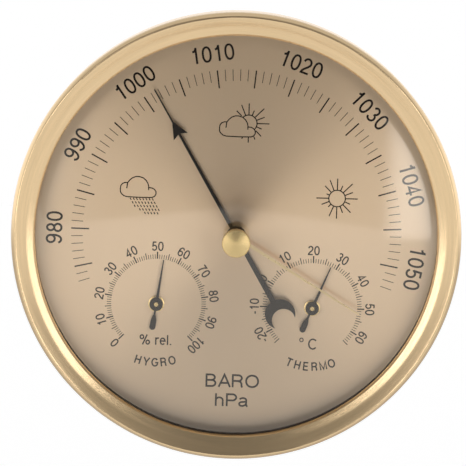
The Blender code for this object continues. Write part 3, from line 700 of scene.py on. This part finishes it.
def stroke(body_mesh, points, width):
    """Adds one line of ink as a thin raised ribbon. A line that ends where it starts is closed."""
    top, bottom = DIAL_FACE + INK_HEIGHT, DIAL_FACE - INK_HEIGHT
    closed = (Vector(points[0]) - Vector(points[-1])).length < 1e-6
    path = [Vector(p) for p in (points[:-1] if closed else points)]
    count = len(path)
    sides = []
    for i, point in enumerate(path):
        before = path[i - 1] if closed or i > 0 else None
        after = path[(i + 1) % count] if closed or i < count - 1 else None
        leaving = (after - point).normalized() if after else None
        arriving = (point - before).normalized() if before else leaving
        leaving = leaving or arriving
        along = (arriving + leaving).normalized()
        across = Vector((-along.y, along.x))
        mitre = max(0.45, across.dot(Vector((-leaving.y, leaving.x))))
        offset = across * (width / 2 / mitre)
        sides.append((point + offset, point - offset))
    rows = []
    for left, right in sides:
        rows.append([
            body_mesh.verts.new((left.x, left.y, top)),
            body_mesh.verts.new((right.x, right.y, top)),
            body_mesh.verts.new((right.x, right.y, bottom)),
            body_mesh.verts.new((left.x, left.y, bottom)),
        ])
    pairs = list(zip(rows, rows[1:]))
    if closed:
        pairs.append((rows[-1], rows[0]))
    else:
        body_mesh.faces.new(rows[0])
        body_mesh.faces.new(reversed(rows[-1]))
    for first, second in pairs:
        for k in range(4):
            m = (k + 1) % 4
            body_mesh.faces.new((first[k], second[k], second[m], first[m]))


def text_width(text):
    return sum(GLYPHS[letter][0] for letter in text)


def write(body_mesh, text, size, width, centre, angle=0.0, squeeze=1.0):
    """Adds a word, centred on a point and turned clockwise by an angle."""
    cursor = -text_width(text) / 2
    for letter in text:
        advance, strokes = GLYPHS[letter]
        for points in strokes:
            placed = [
                turn_point(((cursor + x) * size * squeeze, (y - 0.5) * size), angle, centre)
                for x, y in points
            ]
            stroke(body_mesh, placed, width)
        cursor += advance


def write_outward(body_mesh, text, size, width, angle, radius, centre=(0, 0), squeeze=1.0):
    """Adds a number on a scale, its top pointing outward."""
    write(body_mesh, text, size, width, turn_point((0, radius), angle, centre), angle, squeeze)


def write_below(body_mesh, text, size, width, radius, step, centre):
    """Adds a word along an arc below a centre, its letters' tops pointing to the centre."""
    for i, letter in enumerate(text):
        angle = 180 + step * ((len(text) - 1) / 2 - i)
        write(body_mesh, letter, size, width, turn_point((0, radius), angle, centre), angle + 180)


def tick(body_mesh, angle, inner, outer, width, centre=(0, 0)):
    ends = [turn_point((0, r), angle, centre) for r in (inner, outer)]
    stroke(body_mesh, ends, width)


def print_piece(name, body_mesh):
    finish_piece(new_object(name, body_mesh), ink, "case", "black_enamel")


def print_main_scale():
    """Ticks for each hPa, longer for each fifth, and a number for each tenth."""
    ticks = bmesh.new()
    numbers = bmesh.new()
    low, high = HPA_RANGE
    tick_end = 48.8
    for pressure in range(low, high + 1):
        angle = (pressure - HPA_TOP) * HPA_STEP
        if pressure % 5 == 0:
            tick(ticks, angle, 43.5, tick_end, 0.40)
        else:
            tick(ticks, angle, 45.4, tick_end, 0.19)
        if pressure % 10 == 0:
            angle += LABEL_SHIFT.get(pressure, 0)
            write_outward(numbers, str(pressure), 4.75, 0.62, angle, 53.8, squeeze=0.95)
    print_piece("scale_ticks", ticks)
    print_piece("scale_numbers", numbers)


def print_sub_scale(name, low, high, top, step):
    """A small dial's ticks and numbers, and its name in an arc below."""
    centre = SUB_DIALS[name]
    scale = bmesh.new()
    tick_start = 13.4
    for value in range(low, high + 1):
        angle = (value - top) * step
        if value % 10 == 0:
            tick(scale, angle, tick_start, 15.5, 0.38, centre)
            write_outward(scale, str(value), 2.7, 0.4, angle, 17.15, centre, 0.93)
        elif value % 5 == 0:
            tick(scale, angle, tick_start, 15.3, 0.25, centre)
        else:
            tick(scale, angle, tick_start, 14.7, 0.18, centre)
    write_below(scale, name.upper(), 2.5, 0.42, 17.7, 8.3, centre)
    print_piece(name + "_scale", scale)


def print_words():
    """The name and unit of the pressure scale, and the units of the two small dials."""
    words = bmesh.new()
    write(words, "BARO", 3.9, 0.56, (0, -44.0), squeeze=1.32)
    write(words, "hPa", 3.85, 0.54, (0, -49.8), squeeze=1.37)
    hygro, thermo = SUB_DIALS["hygro"], SUB_DIALS["thermo"]
    unit_line = hygro.y - 10.9
    write(words, "% rel.", 3.0, 0.42, (hygro.x + 0.1, unit_line), squeeze=1.12)
    write(words, "°", 3.9, 0.3, (thermo.x - 2.8, unit_line))
    write(words, "C", 3.3, 0.44, (thermo.x + 0.5, unit_line), squeeze=1.05)
    print_piece("dial_words", words)


# The dome of a cloud and the lobes with the base, about the cloud's middle.
CLOUD_LINES = (
    [(-3.35, -0.5), (-3.25, 0.3), (-3.2, 0.75), (-3.1, 1.2), (-2.5, 2.0), (-1.7, 2.65), (-0.7, 3.05),
     (0.3, 3.05), (1.5, 2.7), (2.4, 1.9), (2.9, 1.0), (3.1, 0.2), (3.1, -0.9)],
    [(-3.1, 1.2), (-3.9, 1.2), (-4.6, 0.9), (-5.1, 0.3), (-5.25, -0.6), (-5.2, -1.6), (-4.8, -2.2),
     (-4.1, -2.75), (-3.2, -3.0), (0.5, -3.1), (4.1, -3.05), (4.9, -2.7), (5.3, -2.0), (5.3, -1.3),
     (4.8, -0.6), (4.2, -0.25), (3.1, -0.1)],
)
# The outer ends of a sun's rays, clockwise from the top.
SUN_RAYS = [5.9, 4.1, 6.3, 5.0, 6.1, 4.2, 5.8, 4.6, 6.0, 5.75, 3.6, 4.9, 6.1, 3.4, 5.2, 5.85]
# Both ends of the rays that a cloud hides in part, and None for a hidden one.
BEHIND_CLOUD = {
    6: (3.0, 5.3), 7: (4.2, 5.1), 8: (4.1, 5.7), 9: (4.4, 5.0),
    10: None, 11: None, 12: None, 13: None, 14: (3.0, 5.1),
}
SUN_DISC = 2.45


def cloud(body_mesh, x, y, width):
    """A cloud in outline: a dome between two lobes on a flat base, its ends running on inside."""
    for line in CLOUD_LINES:
        stroke(body_mesh, [(x + u, y + v) for u, v in line], width)


def sun(body_mesh, x, y, disc, width, changed):
    """A sun with its disc's outline and its rays. Some rays may have other ends or be left out."""
    stroke(body_mesh, [(x + u, y + v) for u, v in disc], width)
    for i, outer in enumerate(SUN_RAYS):
        ends = changed.get(i, (SUN_DISC, outer))
        if ends:
            tick(body_mesh, 360 * i / len(SUN_RAYS), *ends, width, (x, y))


def rain(body_mesh, x, y, width):
    """Rows of short slanting dashes under a cloud."""
    for row in range(5):
        for column in range(8):
            if (row >= 3 and column == 0) or (row >= 4 and column in (1, 7)):
                continue
            top = y - 1.02 * row
            left = x + 0.93 * column + 0.6 * (y - top)
            stroke(body_mesh, [(left, top), (left + 0.36, top - 0.62)], width)


def print_pictograms():
    """Rain, change and fair weather."""
    signs = bmesh.new()
    line = 0.32
    cloud(signs, -29.3, 13.3, line)
    rain(signs, -31.6, 10.0, 0.29)
    cloud(signs, -0.55, 32.05, line)
    sun(signs, 2.75, 33.0, arc(SUN_DISC, -46, 137, 26), line, BEHIND_CLOUD)
    sun(signs, 29.45, 11.5, circle(SUN_DISC, count=32) + [(0, SUN_DISC)], line, {})
    print_piece("weather_signs", signs)


# ---------------------------------------------------------------- hands

def hand_plate(outline, bottom, top, angle, centre=(0, 0), holes=()):
    """A flat hand, drawn pointing up and turned to its angle."""
    body_mesh = bmesh.new()
    turned_outline = [turn_point(p, angle, centre) for p in outline]
    turned_holes = [[turn_point(p, angle, centre) for p in hole] for hole in holes]
    prism(body_mesh, turned_outline, bottom, top, turned_holes)
    return body_mesh


def make_baro_pointer():
    """Black stamping: arrow, tapered stem, hub and crescent tail, with a turned hub on it."""
    right = [(0.17, 49.4), (0.24, 38.2), (2.35, 33.5), (1.2, 33.95), (0.36, 34.3), (0.55, 2.0)]
    outer_y, outer_radius = -26.8, 4.5
    inner_y, inner_radius = -28.9, 3.45
    step = outer_y - inner_y
    to_chord = (outer_radius ** 2 - inner_radius ** 2 + step ** 2) / (2 * step)
    horn = math.degrees(math.acos(to_chord / outer_radius))
    inner_horn = math.degrees(math.acos((to_chord - step) / inner_radius))
    stem = math.degrees(math.asin(0.8 / outer_radius))
    right += [(0.65, -2.0)] + arc(outer_radius, stem, 180 - horn, 32, 0, outer_y)
    left = [(-x, y) for x, y in reversed(right)]
    hollow = arc(inner_radius, 180 - inner_horn, inner_horn - 180, 32, 0, inner_y)[1:-1]
    low, high = extent("baro_pointer")
    angle = (BARO_READING - HPA_TOP) * HPA_STEP
    back = DIAL_FACE + PRESSURE_HAND_HEIGHT
    body_mesh = hand_plate(right + hollow + left, back, back + HAND_SHEET, angle)
    hub, bore, bore_end = 2.9, 1.05, DIAL_FACE + 3.6
    profile = fillet([(0, high.z), (hub, high.z), (hub, low.z), (bore, low.z)], 0.25, 3)
    profile += [(bore, bore_end), (0, bore_end)]
    lathe(body_mesh, profile, 64)
    bmesh.ops.recalc_face_normals(body_mesh, faces=body_mesh.faces)
    hand = bevelled(new_object("pressure_hand", body_mesh), 0.05)
    finish_piece(hand, black, "baro_hand", "black_enamel", "baro_pointer")


def make_sub_hand(name, angle):
    """Small black hand: a tapered point, a waist, a drop-shaped tail and a hub."""
    centre = SUB_DIALS[name]
    low, high = extent(name + "_pointer")
    right = [(0.14, 13.4), (0.42, 1.6), (0.3, -1.6), (0.3, -3.2), (0.55, -3.9), (0.82, -4.8)]
    right += arc(0.9, 90, 180, 10, 0, -6.9)
    left = [(-x, y) for x, y in reversed(right)][1:]
    back = DIAL_FACE + SMALL_HAND_HEIGHT
    body_mesh = hand_plate(right + left, back, back + HAND_SHEET, angle, centre)
    hub, bore = 2.0, 0.95
    profile = fillet([(bore, high.z), (hub, high.z), (hub, low.z), (bore, low.z)], 0.15, 3)
    lathe(body_mesh, profile, 48, centre, closed=True)
    bmesh.ops.recalc_face_normals(body_mesh, faces=body_mesh.faces)
    hand = bevelled(new_object(name + "_small_hand", body_mesh), 0.04)
    finish_piece(hand, black, name + "_hand", "black_enamel", name + "_pointer")


def make_set_hand():
    """Thin brass hand on a round eye."""
    low, high = extent("set_hand")
    eye = 2.4
    stem = math.degrees(math.asin(0.5 / eye))
    outline = [(-0.2, 43.0), (0.2, 43.0)] + arc(eye, stem, 360 - stem, 40)
    body_mesh = hand_plate(outline, low.z, high.z, SET_HAND_ANGLE, holes=[circle(1.5)])
    bmesh.ops.recalc_face_normals(body_mesh, faces=body_mesh.faces)
    hand = bevelled(new_object("reference_hand", body_mesh), 0.05)
    finish_piece(hand, hand_brass, "set_hand_and_knob", "brass", "set_hand")


def make_knob():
    """Turned brass knob with a coined rim and a waisted neck, on its shaft and washer."""
    back, front = KNOB_LOW.z, KNOB_HIGH.z
    radius = KNOB_HIGH.x
    teeth, groove_depth = 44, 0.16
    face = [(0, front), (radius - 0.3, front - 0.06), (radius - 0.12, front - 0.14)]
    rim = [(radius, front - 0.32), (radius, front - 2.3), (radius - 0.25, front - 2.6)]
    neck = [(3.1, front - 3.8), (2.3, front - 4.9), (1.95, front - 6.4), (1.9, back + 1.1)]
    neck += [(2.3, back + 0.2), (2.3, back), (1.5, back), (1.5, back + 3.7), (0, back + 3.7)]
    body_mesh = bmesh.new()
    lathe(body_mesh, face + rim + neck, teeth * 6)
    for vert in body_mesh.verts:
        out = math.hypot(vert.co.x, vert.co.y)
        if out > radius - 0.2:
            groove = 0.5 - 0.5 * math.cos(teeth * math.atan2(vert.co.y, vert.co.x))
            vert.co.x *= 1 - groove_depth * groove / out
            vert.co.y *= 1 - groove_depth * groove / out
    knob = new_object("turned_knob", body_mesh)
    finish_piece(knob, knob_brass, "set_hand_and_knob", "brass", "set_knob")
    low, high = extent("crystal_washer")
    rim = [(1.6, high.z), (2.7, high.z), (3.0, high.z - 0.15), (3.0, low.z), (1.6, low.z)]
    washer = turned("window_washer", rim, 64, closed=True)
    finish_piece(washer, brass, "case", "brass", "crystal_washer")
    low, high = extent("set_shaft")
    shaft = turned("knob_shaft", [(0, high.z), (1.2, high.z), (1.2, low.z), (0, low.z)], 48)
    finish_piece(shaft, hand_brass, "set_hand_and_knob", "brass", "set_shaft")


# ---------------------------------------------------------------- CAD nodes that stay

def finish_cad_nodes():
    """Gives each CAD node that still shows a finish by its slot in the record."""
    finishes = {
        "steel": steel,
        "brass": brass,
        "beryllium_copper": copper_alloy,
        "rubber": rubber,
        "black_enamel": black,
        "case_lacquer": case_lacquer,
        "black_plastic": black_plastic,
        "clear_acrylic": window,
        "champagne_dial": lacquer,
        "gold_aluminium": gold,
    }
    for entry in frame["record"]["subparts"]:
        node = frame["nodes"][entry["node"]]
        node.data.materials.clear()
        node.data.materials.append(finishes[entry["material_slot"]])


# ---------------------------------------------------------------- stage

def make_floor():
    """A pale floor below the barometer. Only the camera sees it."""
    body_mesh = bmesh.new()
    for x, y in ((-3, -3), (3, -3), (3, 3), (-3, 3)):
        body_mesh.verts.new((x, y, cad_box[0][2] - 0.3))
    body_mesh.faces.new(body_mesh.verts[:])
    mesh = bpy.data.meshes.new("floor")
    body_mesh.to_mesh(mesh)
    body_mesh.free()
    floor = bpy.data.objects.new("floor", mesh)
    glow = {"Emission_Color": (1, 1, 1, 1), "Emission_Strength": 0.5}
    material = new_material("pale_floor", (0.9, 0.9, 0.9), 0.9, 0.0, **glow)[0]
    mesh.materials.append(material)
    bpy.context.scene.collection.objects.link(floor)
    for ray in ("glossy", "diffuse", "transmission", "shadow"):
        setattr(floor, "visible_" + ray, False)


def ramp(tree, value, start, end):
    """0 before the start and 1 after the end, smooth between."""
    node = tree.nodes.new("ShaderNodeMapRange")
    node.interpolation_type = "SMOOTHSTEP"
    falling = start > end
    node.inputs["From Min"].default_value = min(start, end)
    node.inputs["From Max"].default_value = max(start, end)
    node.inputs["To Min"].default_value = 1.0 if falling else 0.0
    node.inputs["To Max"].default_value = 0.0 if falling else 1.0
    tree.links.new(value, node.inputs["Value"])
    return node.outputs[0]


def product(tree, *values):
    result = values[0]
    for value in values[1:]:
        result = math_node(tree, "MULTIPLY", result, value)
    return result


def painted(tree, under, brightness, mask):
    """The brightness laid over what is under it, where the mask is 1."""
    mix = tree.nodes.new("ShaderNodeMix")
    for name, value in (("Factor", mask), ("A", under), ("B", brightness)):
        if isinstance(value, (int, float)):
            mix.inputs[name].default_value = value
        else:
            tree.links.new(value, mix.inputs[name])
    return mix.outputs["Result"]


# Brightness of the studio by the height that it is seen at, from straight down to straight up.
ROOM_LIGHT = [
    (-90, 0.75), (-60, 0.80), (-8, 0.84), (2, 0.78), (12, 0.63), (22, 0.52), (32, 0.41), (41, 0.33),
    (51, 0.26), (66, 0.22), (76, 0.45), (90, 0.7),
]


def make_world():
    """A white studio: soft panels at both sides, a pale table below and a dark camera side."""
    world = bpy.data.worlds.new("studio")
    bpy.context.scene.world = world
    world.use_nodes = True
    tree = world.node_tree
    background = tree.nodes["Background"]
    direction = tree.nodes.new("ShaderNodeTexCoord").outputs["Generated"]
    split = tree.nodes.new("ShaderNodeSeparateXYZ")
    tree.links.new(direction, split.inputs[0])
    front = math_node(tree, "MULTIPLY", split.outputs["Y"], -1.0)
    to_degrees = math.degrees(1)
    bearing = math_node(tree, "ARCTAN2", split.outputs["X"], front)
    azimuth = math_node(tree, "MULTIPLY", bearing, to_degrees)
    elevation = math_node(tree, "MULTIPLY", math_node(tree, "ARCSINE", split.outputs["Z"]), to_degrees)
    aside = math_node(tree, "ABSOLUTE", azimuth)

    level = tree.nodes.new("ShaderNodeValToRGB")
    stops = level.color_ramp.elements
    while len(stops) < len(ROOM_LIGHT):
        stops.new(0.5)
    for stop, (angle, brightness) in zip(stops, ROOM_LIGHT):
        stop.position = (angle + 90) / 180
        stop.color = (brightness, brightness, brightness, 1)
    tree.links.new(math_node(tree, "DIVIDE", math_node(tree, "ADD", elevation, 90), 180), level.inputs[0])
    light = level.outputs["Color"]
    horizon = math_node(tree, "ADD", elevation, math_node(tree, "MULTIPLY", aside, 0.13))
    camera_side = product(tree, ramp(tree, horizon, -4.6, -3.6), ramp(tree, aside, 26, 12))
    light = painted(tree, light, painted(tree, 0.08, 0.2, ramp(tree, elevation, 6, 22)), camera_side)
    left = math_node(tree, "MULTIPLY", azimuth, -1.0)
    rising = math_node(tree, "SUBTRACT", elevation, math_node(tree, "MULTIPLY", azimuth, 0.5))
    leaning = math_node(tree, "ADD", left, math_node(tree, "MULTIPLY", elevation, 0.35))
    bottom = ramp(tree, elevation, -7.6, -6.6)
    right_panel = product(tree, ramp(tree, azimuth, 15.5, 19), bottom, ramp(tree, rising, 8, 0))
    left_panel = product(tree, ramp(tree, leaning, 17, 27), ramp(tree, left, 46, 34), bottom,
                         ramp(tree, elevation, 26, 10))
    light = painted(tree, light, 1.9, product(tree, right_panel, ramp(tree, azimuth, 46, 34)))
    light = painted(tree, light, 2.7, product(tree, right_panel, ramp(tree, azimuth, 25, 21)))
    light = painted(tree, light, 2.5, left_panel)
    backdrop = painted(tree, 1.15, 0.55, ramp(tree, elevation, -2, -12))
    backdrop = painted(tree, backdrop, 0.62, ramp(tree, elevation, 5, 40))
    light = painted(tree, light, backdrop, ramp(tree, front, 0.05, -0.12))

    camera_ray = tree.nodes.new("ShaderNodeLightPath").outputs["Is Camera Ray"]
    tree.links.new(painted(tree, light, 1.0, camera_ray), background.inputs["Strength"])
    background.inputs["Color"].default_value = (1, 1, 1, 1)


CAMERA_DISTANCE = 0.8
CAMERA_ELEVATION = 7.5
CAMERA_AZIMUTH = -0.1
CAMERA_ROLL = 1.62
LENS = 209.1
SHIFT = (-0.0069, 0.00285)


def make_camera():
    camera = bpy.data.cameras.new("camera")
    camera.lens = LENS
    camera.sensor_width = 36
    camera.clip_start = 0.01
    camera.clip_end = 50
    obj = bpy.data.objects.new("camera", camera)
    bpy.context.scene.collection.objects.link(obj)
    bpy.context.scene.camera = obj
    elevation, azimuth = math.radians(CAMERA_ELEVATION), math.radians(CAMERA_AZIMUTH)
    target = Vector((0, -DIAL_FACE * MM, 0))
    away = Vector((
        math.sin(azimuth) * math.cos(elevation),
        -math.cos(azimuth) * math.cos(elevation),
        math.sin(elevation),
    ))
    obj.location = target + away * CAMERA_DISTANCE
    look = (-away).to_track_quat("-Z", "Y")
    roll = Matrix.Rotation(math.radians(CAMERA_ROLL), 4, "Z")
    obj.rotation_euler = (look.to_matrix().to_4x4() @ roll).to_euler()
    camera.shift_x, camera.shift_y = SHIFT


finish_cad_nodes()
make_rear_case()
for screw_number, screw_node in enumerate(CASE_SCREWS):
    make_back_screw(screw_node, "case", 1.0, 35 + 50 * screw_number)
make_back_screw("calibration_screw", "calibration", 1.2, 75)
make_bezel()
make_crystal()
make_dial()
print_main_scale()
print_sub_scale("hygro", 0, 100, HYGRO_TOP, HYGRO_STEP)
print_sub_scale("thermo", -25, 65, THERMO_TOP, THERMO_STEP)
print_words()
print_pictograms()
make_baro_pointer()
make_sub_hand("hygro", (HYGRO_READING - HYGRO_TOP) * HYGRO_STEP)
make_sub_hand("thermo", (THERMO_READING - THERMO_TOP) * THERMO_STEP)
make_set_hand()
make_knob()
make_floor()
make_world()
make_camera()

bpy.context.scene.view_settings.view_transform = "Standard"
